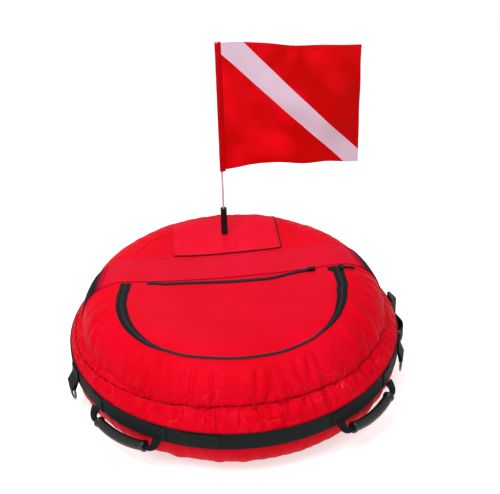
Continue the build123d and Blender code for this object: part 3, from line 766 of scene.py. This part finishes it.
# Hem: the shadowed edge of a folded border and the row of thread that holds it, metres in
hem, given, result = new_group("hem", {"Run": None, "Size": None, "Inset": 0.006}, ["Line"])
far = vector(hem, "SUBTRACT", given["Size"], given["Run"])
near = put(hem, "SeparateXYZ", {0: vector(hem, "MINIMUM", given["Run"], far)}).outputs
nearest = calc(hem, "MINIMUM", near["X"], near["Y"])
off_row = calc(hem, "ABSOLUTE", calc(hem, "SUBTRACT", nearest, given["Inset"]))
row = rescale(hem, off_row, 0.0, 0.0011, 0.6, 0.0)
border = rescale(hem, nearest, 0.0, 0.0018, 1.0, 0.0)
hem.links.new(calc(hem, "MAXIMUM", row, border), result["Line"])


def hemmed(base, name, size, colour, inset=0.006):
    """A copy of a cloth with a hem along the edges of a piece of this size in metres."""
    made = base.copy()
    made.name = name
    tree = made.node_tree
    sockets = {"Run": tree.nodes["UV Map"].outputs[0], "Size": (*size, 1.0), "Inset": inset}
    seen = put(tree, "Group", sockets, node_tree=hem).outputs["Line"]
    overlay(tree.nodes["Principled BSDF"].inputs["Base Color"], seen, colour)
    return made


band_nylon = cloth("band_nylon", (0.78, 0.002, 0.028), (0.70, 0.001, 0.017), folds=0.3, fold_size=8.0)
hemmed_band = hemmed(band_nylon, "hemmed_band", (0.80, 0.091), (0.40, 0.001, 0.012))
band = laid_cloth("cross_band_cloth", 150, 40, band_spot, (0.80, 0.091), 0.0009)
fit(band, hemmed_band, "band", "root", "cross_band")


# Shoulder panels: black knitted mesh over both ends of the band, its colour blending from black to red
# towards its inner side.
panel_inner, panel_front, panel_width = 0.292, 0.017, 0.087


def panel_spot(side):
    def spot(u, v):
        y = panel_front + panel_width * v
        inner = sqrt(panel_inner**2 - y**2)
        outer = sqrt((seam_radius - 0.0004) ** 2 - y**2)
        return top_spot(side * (inner + (outer - inner) * sin(pi / 2 * u)), y, 0.0026)
    return spot if side > 0 else lambda u, v: spot(1 - u, v)


def knitted(name, hole_scale, randomness, relief, depth, roughness):
    """Knitted mesh with rows of holes. Its colour is linked by the piece that it is for."""
    made, tree, shader = new_material(name)
    place = put(tree, "TexCoord").outputs["Object"]
    sockets = {"Vector": place, "Scale": hole_scale, "Randomness": randomness}
    hole = put(tree, "TexVoronoi", sockets).outputs["Distance"]
    raise_by(shader, hole, relief, depth)
    shader.inputs["Roughness"].default_value = roughness
    return made, tree, shader, place, hole


mesh_cloth, tree, shader, place, hole = knitted("mesh_cloth", 520.0, 0.1, 0.6, 0.0004, 0.75)
seen_flat = vector(tree, "MULTIPLY", place, (1, 1, 0))
from_middle = put(tree, "VectorMath", {0: seen_flat}, operation="LENGTH").outputs["Value"]
# The colour blends from black to red towards the panels' inner side, by distance from the middle
inner_red_fade = rescale(tree, from_middle, 0.293, 0.311, 1.0, 0.0)
red_share = calc(tree, "MULTIPLY", inner_red_fade, rescale(tree, hole, 0.25, 0.5, 1.0, 0.8))
tinted = blend(tree, red_share, (0.003, 0.003, 0.005, 1), (0.66, 0.004, 0.040, 1))
tree.links.new(tinted, shader.inputs["Base Color"])
shader.inputs["Specular IOR Level"].default_value = 0.06
for side, label in ((-1, "left"), (1, "right")):
    panel = laid_cloth(f"shoulder_mesh_{label}", 24, 30, panel_spot(side), (0.085, panel_width), 0.0011)
    fit(panel, mesh_cloth, "mesh", "root", f"mesh_panel_{label}")


# Flag patch: a doubled rectangle of nylon behind the band that carries the socket, with a
# black tape sewn along its front and right edges.
mast_y = 0.186
patch_half, patch_front, patch_length = 0.125, 0.112, 0.143
patch_size = (2 * patch_half, patch_length)


def patch_spot(u, v):
    x, y = -patch_half + 2 * patch_half * u, patch_front + patch_length * v
    tent = 0.004 * exp(-(hypot(x, y - mast_y) / 0.022) ** 2)
    pucker = 0.0010 * noise_at(x * 26, y * 26, 1.5) * ease(min(u, 1 - u, v, 1 - v), 0.0, 0.08)
    return top_spot(x, y, 0.0022 + tent + pucker)


patch_nylon = cloth("patch_nylon", (0.90, 0.003, 0.030), (0.80, 0.001, 0.018), fold_size=14.0)
patch = laid_cloth("flag_patch_cloth", 70, 44, patch_spot, patch_size, 0.0018)
hemmed_patch = hemmed(patch_nylon, "hemmed_patch", patch_size, (0.36, 0.001, 0.010), 0.005)
fit(patch, hemmed_patch, "flap", "root", "flag_patch")

trim_front, trim_side, trim_width = 0.252, 0.145, 0.0028


def trim_spot(u, v):
    """The tape's edge runs along the front, turns the right corner and goes back."""
    run = u * (trim_front + trim_side)
    if run < trim_front:
        x, y, out_x, out_y = -patch_half + run, patch_front, 0, -1
    else:
        x, y, out_x, out_y = patch_half, patch_front + run - trim_front, 1, 0
    if abs(run - trim_front) <= 0.004:
        out_x, out_y = 0.7, -0.7
    off = (v - 0.35) * trim_width
    x, y = min(x, patch_half), max(y, patch_front)
    return top_spot(x + out_x * off, y + out_y * off, 0.0026 + 0.0008 * sin(pi * v))


trim = laid_cloth("flag_patch_tape", 160, 5, trim_spot, (trim_front + trim_side, 0.0044), 0.0022)
fit(trim, tape_cloth, "webbing", "root", "patch_trim")


# Flag socket and rod: a rubber tube that tapers into a sewn hole, and a thin fibreglass rod
# with a pale pink gel coat. Both keep their modelled shape.
socket_rubber = moulded("socket_rubber", (0.006, 0.005, 0.006), 0.55, grain=0.3, grain_size=500.0)
rod_gel = moulded("rod_gel", (0.70, 0.50, 0.52), 0.35, specular=0.5, grain=0.06, edge=(0.85, 0.75, 0.75))
dress("flag_socket", socket_rubber)
dress("flag_rod", rod_gel)


# Flag: one cloth of red nylon with the white diagonal let in, hemmed on its free edges and
# held by a sleeve over the rod. It hangs from the rod, so its free top corner has dropped.
flag_low, flag_high, flag_width = 0.434, 0.737, 0.314
flag_turn = radians(-2)
flag_start = 0.008
stripe_top, stripe_end = (0.061, 0.7335), (0.311, 0.470)
stripe_low = (0.0106, 0.709)


def flag_spot(u, v):
    s = flag_start + (flag_width - flag_start) * u
    top = flag_high - 0.012 * ease(u, 0.0, 0.55) - 0.009 * ease(u, 0.5, 1.0) + 0.0006 * sin(u * 21)
    bottom = flag_low + 0.0055 - 0.0105 * (1 - ease(u, 0.0, 0.3)) - 0.0085 * ease(u, 0.5, 1.0)
    bottom += 0.0012 * sin(u * 17 + 1)
    z = bottom + (top - bottom) * v
    up = z - flag_low
    slanting = sin((s * 0.8 + up) * 40 + 3 * noise_at(s * 5, z * 5, 1))
    ripple = 0.0052 * sin(2 * pi * s / flag_width + 0.5) * ease(u, 0.0, 0.2)
    ripple += 0.0022 * slanting * ease(u, 0.05, 0.4)
    ripple += 0.0055 * noise_at(s * 14, up * 9, 2.0) * ease(u, 0.04, 0.35)
    across = Vector((cos(flag_turn), sin(flag_turn), 0))
    aside = Vector((-sin(flag_turn), cos(flag_turn), 0))
    return Vector((0, mast_y, z)) + across * s + aside * ripple


# The flag's red runs from a dark tone to a bright one over the crumples' facets and broad patches: painted
# shade and painted highlight of its folds
flag_cloth = cloth("flag_cloth", (0.60, 0.0002, 0.0005), (1.0, 0.002, 0.012), fold_size=9.0,
                   pitch=0.0010, patch_size=8.0, patch_detail=1.5)
tree = flag_cloth.node_tree
painted_light_share = tree.nodes["Tone"].inputs["Factor"]
facets = tree.nodes["Crumples"].outputs["Height"]
# Painted fold shade and highlight: the crumples' facets decide between the dark and the bright red
painted_fold_light = calc(tree, "MULTIPLY_ADD", facets, 1.5, painted_light_share.links[0].from_socket)
tree.links.new(calc(tree, "SUBTRACT", painted_fold_light, 0.45, clamped=True), painted_light_share)
flag_cloth = hemmed(flag_cloth, "hemmed_flag", (0.314, 0.303), (0.42, 0.0004, 0.003), 0.009)
tree = flag_cloth.node_tree
spot = put(tree, "SeparateXYZ", {0: tree.nodes["UV Map"].outputs[0]}).outputs
slope = (stripe_top[1] - stripe_end[1]) / (stripe_end[0] - stripe_top[0])
white_parts = []
for (start_x, start_z), fall, side in ((stripe_low, 0.965 * slope, "GREATER_THAN"),
                                       (stripe_top, slope, "LESS_THAN")):
    climb = calc(tree, "MULTIPLY_ADD", spot["X"], fall, spot["Y"])
    white_parts.append(calc(tree, side, climb, start_z + start_x * fall - flag_low))
overlay(tree.nodes["Principled BSDF"].inputs["Base Color"], calc(tree, "MULTIPLY", *white_parts),
        (0.72, 0.55, 0.67))

flag = laid_cloth("flag_sheet", 90, 84, flag_spot, (0.306, 0.303), 0.0005)
for loop in flag.data.uv_layers[0].data:
    loop.uv = (loop.uv[0] + flag_start, loop.uv[1])
fit(flag, flag_cloth, "flag_red", "flag", "flag_cloth", "flag_stripe")

sleeve_radius, sleeve_tail = 0.0043, 0.0042
sleeve_low, sleeve_height, sleeve_steps = flag_low - 0.008, flag_high - flag_low + 0.009, 40


def sleeve_spot(station, around):
    z = sleeve_low + sleeve_height * station / sleeve_steps
    tail = max(cos(around), 0.0) ** 6
    radius = sleeve_radius + 0.0003 * noise_at(around, z * 60, 0) + tail * sleeve_tail
    turn = around + flag_turn
    return radius * cos(turn), mast_y + radius * sin(turn) * (1 - 0.4 * tail), z


sleeve = tube("flag_sleeve", 32, sleeve_steps + 1, sleeve_spot)
marks = sleeve.data.uv_layers[0]
for loop in sleeve.data.loops:
    spot = sleeve.data.vertices[loop.vertex_index].co
    marks.data[loop.index].uv = (spot.x, spot.z - flag_low)
thicken(sleeve, 0.0006)
bpy.ops.object.shade_smooth_by_angle(angle=radians(50))
sleeve_cloth = cloth("sleeve_cloth", (0.50, 0.0003, 0.002), (0.62, 0.0005, 0.004), folds=0.3, pitch=0.0010)
fit(sleeve, sleeve_cloth, "flag_red", "flag")


# Belt: heavy black webbing pulled tight round the widest part, with a sewn overlap at the
# front left, a slack tail beside the buckle and the doubled ends of the handles sewn to it.
belt_outer = 0.3745
pad_low, pad_high, pad_thickness = 0.090, 0.126, 0.0018

# Sewn: dashes of thread along the edges of a length of webbing and in a cross over its middle
sewn, given, result = new_group(
    "sewn", {"Place": None, "Run": None, "Inset": 0.1, "Width": 0.02, "Stitch": 0.0035}, ["Thread"])
place = put(sewn, "SeparateXYZ", {0: given["Place"]}).outputs
run = put(sewn, "SeparateXYZ", {0: given["Run"]}).outputs


def on_line(off):
    """1 within the thread's width of a line."""
    return calc(sewn, "LESS_THAN", calc(sewn, "ABSOLUTE", off), given["Width"])


on_edge, inside, dashes = {}, {}, {}
for axis in ("X", "Y"):
    near = calc(sewn, "MINIMUM", place[axis], calc(sewn, "SUBTRACT", 1.0, place[axis]))
    on_edge[axis] = on_line(calc(sewn, "SUBTRACT", near, given["Inset"]))
    inside[axis] = calc(sewn, "GREATER_THAN", near, given["Inset"])
    stitch = calc(sewn, "FRACT", calc(sewn, "DIVIDE", run[axis], given["Stitch"]))
    dashes[axis] = calc(sewn, "LESS_THAN", stitch, 0.7)
threads = []
for across, along in (("X", "Y"), ("Y", "X")):
    row = calc(sewn, "MULTIPLY", on_edge[across], inside[along])
    threads.append(calc(sewn, "MULTIPLY", row, dashes[along]))
middle = calc(sewn, "MULTIPLY", inside["X"], inside["Y"])
for other in (place["Y"], calc(sewn, "SUBTRACT", 1.0, place["Y"])):
    row = calc(sewn, "MULTIPLY", on_line(calc(sewn, "SUBTRACT", place["X"], other)), middle)
    threads.append(calc(sewn, "MULTIPLY", row, dashes["X"]))
total = threads[0]
for thread in threads[1:]:
    total = calc(sewn, "MAXIMUM", total, thread)
sewn.links.new(total, result["Thread"])


def upright(out, height, turn, aside=0.0):
    """A place out from the middle in the direction of turn, and aside from there."""
    return Vector((out * cos(turn) - aside * sin(turn), out * sin(turn) + aside * cos(turn), height))


def belt_spot(u, v):
    turn = 2 * pi * (1 - u)
    dent = 0.0003 * noise_at(cos(turn) * 20, sin(turn) * 20, v * 3)
    edge = 0.0004 * (2 * v - 1) ** 8
    return upright(belt_outer + dent - edge, belt_low + belt_width * v, turn)


def pad_piece(name, start, end, lift, columns=24, bow=0.0):
    """A length of webbing on the belt between two azimuths in degrees, bowed out in the middle."""
    width = pad_high - pad_low

    def spot(u, v):
        turn = radians(end + (start - end) * u)
        edge = 0.0005 * (2 * v - 1) ** 8 + 0.0005 * (2 * u - 1) ** 16
        away = bow * max(sin(pi * u), 0.0) ** 1.5
        return upright(belt_outer + lift + away - edge, pad_low + width * v, turn)
    size = (abs(radians(end - start)) * belt_outer, width)
    return laid_cloth(name, columns, 8, spot, size, pad_thickness)


def joined(pieces, name):
    """One piece of several."""
    bpy.ops.object.select_all(action="DESELECT")
    for piece in pieces:
        piece.select_set(True)
    bpy.context.view_layer.objects.active = pieces[0]
    bpy.ops.object.join()
    whole = bpy.context.object
    whole.name = whole.data.name = name
    return whole


webbing = cloth("webbing", (0.003, 0.005, 0.005), (0.006, 0.009, 0.009), folds=0.12, fold_size=30.0,
                pitch=0.0016, weave_depth=0.9, gloss=0.72, specular=0.14)
sewn_webbing = webbing.copy()
sewn_webbing.name = "sewn_webbing"
tree = sewn_webbing.node_tree
shader = tree.nodes["Principled BSDF"]
sockets = {"Place": put(tree, "UVMap", uv_map="Place").outputs[0], "Run": tree.nodes["UV Map"].outputs[0],
           "Inset": 0.10, "Width": 0.022}
thread = put(tree, "Group", sockets, node_tree=sewn).outputs["Thread"]
overlay(shader.inputs["Base Color"], thread, (0.016, 0.018, 0.018))
raise_by(shader, thread, 0.8, 0.0006)
belt = laid_cloth("belt_webbing", 480, 10, belt_spot, (2 * pi * belt_outer, belt_width), 0.0022)
face_outwards()
fit(belt, webbing, "webbing", "root", "belt")
overlap = pad_piece("belt_overlap_webbing", -113, -100, 0.0020)
fit(overlap, sewn_webbing, "webbing", "root", "belt_overlap")
tail = pad_piece("belt_tail_webbing", -13, -2, 0.0022, 36, 0.0098)
fit(tail, webbing, "webbing", "root", "belt_tail")

buckle_plastic = moulded("buckle_plastic", (0.004, 0.004, 0.005), 0.38, grain=0.25, grain_size=1400.0)
dress("belt_buckle", buckle_plastic)

handle_azimuths = {"front_left": -133.5, "front_right": -47.7, "rear_right": 47.7, "rear_left": 133.5}
leg_spread = 0.085
anchor_outer = belt_outer + 0.002
anchor_step = degrees(asin(leg_spread / anchor_outer))
anchor_turn = degrees(0.017 / belt_outer)
pads = []
for label, azimuth in handle_azimuths.items():
    for side in (-1, 1):
        middle = azimuth + side * anchor_step
        pads.append(pad_piece(f"anchor_{label}_{side}", middle - anchor_turn, middle + anchor_turn, 0.0020))
anchors = joined(pads, "handle_anchor_webbing")
fit(anchors, sewn_webbing, "webbing", "root", "handle_anchors")


# Handles: webbing that leaves the belt flat, is gathered into a round core and runs through
# a ribbed rubber grip with a thicker collar at each end. All four hang outwards.
hang = radians(49)
fold_height = 0.096
fold_distance = sqrt((anchor_outer + 0.0028) ** 2 - 0.073**2)
grip_half, grip_bow, grip_reach = 0.060, 0.008, 0.024
grip_curve = (grip_half**2 + grip_bow**2) / (2 * grip_bow)
grip_around, leg_around = 72, 40

# Stations of a grip's end: place along it, radius and how deep its ribs are
collar = [(-0.0672, 0.0062, 0.0), (-0.0672, 0.0112, 0.0), (-0.0664, 0.0124, 0.0), (-0.0635, 0.0126, 0.0),
          (-0.0608, 0.0124, 0.0), (-0.0600, 0.0108, 0.0), (-0.0585, 0.0104, 0.4), (-0.0560, 0.0108, 1.0)]
ribbed = [(-0.0560 + 0.112 * i / 28, 0.0108 + 0.0004 * sin(pi * i / 28), 1.0) for i in range(1, 28)]
grip_stations = collar + ribbed + [(-u, radius, ribs) for u, radius, ribs in reversed(collar)]

# Stations of a leg: along the fold line, out from it, half its width and half its thickness
leg_stations = [(leg_spread, -0.0022, 0.0120, 0.0017), (0.0852, 0.0015, 0.0118, 0.0021),
                (0.0855, 0.006, 0.0108, 0.0026), (0.0852, 0.011, 0.0094, 0.0034),
                (0.0838, 0.0155, 0.0080, 0.0042), (0.0812, 0.0195, 0.0068, 0.0050),
                (0.0778, 0.0222, 0.0058, 0.0054), (0.0735, 0.0234, 0.0053, 0.0053),
                (0.0690, 0.0236, 0.0051, 0.0051), (0.0650, 0.0240, 0.0050, 0.0050)]


def handle_place(u, v, w, azimuth):
    """A place of a hanging handle: u along the fold line, v out along the legs, w off their plane."""
    turn = radians(azimuth)
    outward = Vector((cos(turn) * cos(hang), sin(turn) * cos(hang), -sin(hang)))
    along = Vector((-sin(turn), cos(turn), 0))
    start = Vector((fold_distance * cos(turn), fold_distance * sin(turn), fold_height))
    return start + along * u + outward * v - along.cross(outward) * w


def make_grip(name, azimuth):
    def spot(station, around):
        u, radius, ribs = grip_stations[station]
        r = radius - ribs * 0.0011 * (1 - abs(sin(around * 7)) ** 0.7)
        at_u = min(max(u, -grip_half), grip_half)
        tilt, over = asin(at_u / grip_curve), u - at_u
        at_v = grip_reach + grip_bow - grip_curve + sqrt(grip_curve**2 - at_u**2)
        centre_u, centre_v = at_u + over * cos(tilt), at_v - over * sin(tilt)
        centre_u += r * cos(around) * sin(tilt)
        centre_v += r * cos(around) * cos(tilt)
        return handle_place(centre_u, centre_v, r * sin(around), azimuth)
    grip = tube(name, grip_around, len(grip_stations), spot)
    face_outwards()
    bpy.ops.object.shade_smooth_by_angle(angle=radians(60))
    return grip


def make_leg(name, azimuth, side):
    """One end of the strap: flat at the fold line, rolled up where it enters the grip."""
    def spot(station, around):
        u, v, half_width, half_thick = leg_stations[station]
        before = leg_stations[max(station - 1, 0)]
        after = leg_stations[min(station + 1, len(leg_stations) - 1)]
        du, dv = after[0] - before[0], after[1] - before[1]
        run = hypot(du, dv)
        flat = cos(around) * (abs(cos(around)) ** -0.35 if abs(cos(around)) > 0.01 else 1)
        gather = 0.0005 * sin(around * 9) * ease(v, 0.004, 0.014)
        across, off = half_width * flat + gather * cos(around), (half_thick + gather) * sin(around)
        return handle_place(side * (u + across * dv / run), v - across * du / run, off, azimuth)
    return tube(name, leg_around, len(leg_stations), spot, fill="NGON")


grip_rubber = moulded("grip_rubber", (0.003, 0.0045, 0.0045), 0.27, grain=0.10, grain_size=700.0,
                      edge=(0.10, 0.13, 0.13), wear_and_highlight=0.5, specular=0.35)
for label, azimuth in handle_azimuths.items():
    grip = make_grip(f"grip_{label}", azimuth)
    fit(grip, grip_rubber, "grip", f"handle_{label}", f"handle_grip_{label}")
    name = f"grip_strap_{label}"
    strap = joined([make_leg(name, azimuth, side) for side in (-1, 1)], name)
    face_outwards()
    bpy.ops.object.shade_smooth_by_angle(angle=radians(60))
    fit(strap, webbing, "webbing", f"handle_{label}", f"handle_strap_{label}")


# Rings: a steel D-ring on each side, held by a loop of webbing that is folded over its
# straight bar and sewn to the belt above.
black_steel = moulded("black_steel", (0.012, 0.013, 0.015), 0.22, grain=0.05, edge=(0.45, 0.46, 0.48),
                      wear_and_highlight=0.6, specular=0.5)
tab_width, tab_thickness = 0.042, 0.0016
bar_height, fold_radius, tab_top = 0.084, 0.0037, 0.126


def make_tab(label, azimuth, stand):
    """A loop of webbing: down its outer leaf, round the bar of the ring and up its inner leaf."""
    outer, inner = 0.0043 - stand, 0.0010 - stand
    path = [(outer - 0.0014, tab_top), (outer - 0.0013, 0.118), (outer - 0.0010, 0.110), (outer, 0.105)]
    path += [(outer + (fold_radius - outer) * t, 0.105 - 0.021 * t) for t in (0.25, 0.5, 0.75, 1.0)]
    turns = [pi * i / 10 for i in range(1, 11)]
    path += [(fold_radius * cos(t), bar_height - fold_radius * sin(t)) for t in turns]
    path += [(-fold_radius + (inner + fold_radius) * t, bar_height + 0.022 * t) for t in (0.33, 0.66, 1.0)]
    path += [(inner, 0.112), (inner, 0.119), (inner, tab_top - 0.0002)]

    def spot(u, v):
        at = v * (len(path) - 1)
        i = min(int(at), len(path) - 2)
        out, height = (a + (b - a) * (at - i) for a, b in zip(path[i], path[i + 1]))
        return upright(belt_outer + stand + out, height, radians(azimuth), (u - 0.5) * tab_width)
    tab = laid_cloth(f"ring_loop_{label}", 10, len(path) * 2, spot, (tab_width, 0.1), 0)
    thicken(tab, tab_thickness, offset=0)
    return tab


for label, azimuth, stand in (("left", -163.5, 0.014), ("right", -17.5, 0.009)):
    dress(f"d_ring_{label}", black_steel)
    fit(make_tab(label, azimuth, stand), webbing, "webbing", "root", f"ring_tab_{label}")


# Underside: a mesh panel closes the well, and four straps run from the steel line ring to
# the foot of the cover.
strap_width, strap_thickness = 0.024, 0.0016
strap_height, loop_radius, ring_middle = 0.020, 0.0072, 0.028
strap_end = wall_at(0.022) - 0.001


def floor_spot(u, v):
    radius, turn = (wall_at(0.035) - 0.0006) * v, 2 * pi * u
    return Vector((radius * cos(turn), radius * sin(turn), 0.036 - 0.0008 * (1 - v * v)))


well_mesh, tree, shader, _, hole = knitted("well_mesh", 260.0, 0.0, 0.8, 0.0008, 0.7)
threads = blend(tree, rescale(tree, hole, 0.2, 0.5), (0.004, 0.004, 0.004, 1), (0.03, 0.03, 0.034, 1))
tree.links.new(threads, shader.inputs["Base Color"])
well_cloth = laid_cloth("well_floor_mesh", 96, 16, floor_spot, (1.2, 0.19), 0.0012)
fit(well_cloth, well_mesh, "floor_mesh", "root", "well_floor")
steel = moulded("ring_steel", (0.42, 0.43, 0.45), 0.28, metallic=1.0, grain=0.05, edge=(0.6, 0.6, 0.62))
dress("line_ring", steel)


def make_strap(index):
    """A strap looped round the ring's wire, then out to the foot of the cover."""
    def spot(u, v):
        if u < 0.4:
            angle = 2 * pi * u / 0.4
            out, height = ring_middle - loop_radius * cos(angle), strap_height - loop_radius * sin(angle)
        else:
            t = (u - 0.4) / 0.6
            out = ring_middle + 0.0068 + (strap_end - 0.035) * t
            height = strap_height + 0.0006 + 0.0008 * sin(pi * t)
        return upright(out, height, radians(90 * index + 45), (v - 0.5) * strap_width)
    strap = laid_cloth(f"base_strap_{index}", 60, 6, spot, (0.22, strap_width), 0)
    thicken(strap, strap_thickness, offset=0)
    return strap


strap_set = joined([make_strap(index) for index in range(4)], "base_strap_set")
fit(strap_set, webbing, "webbing", "root", "base_straps")
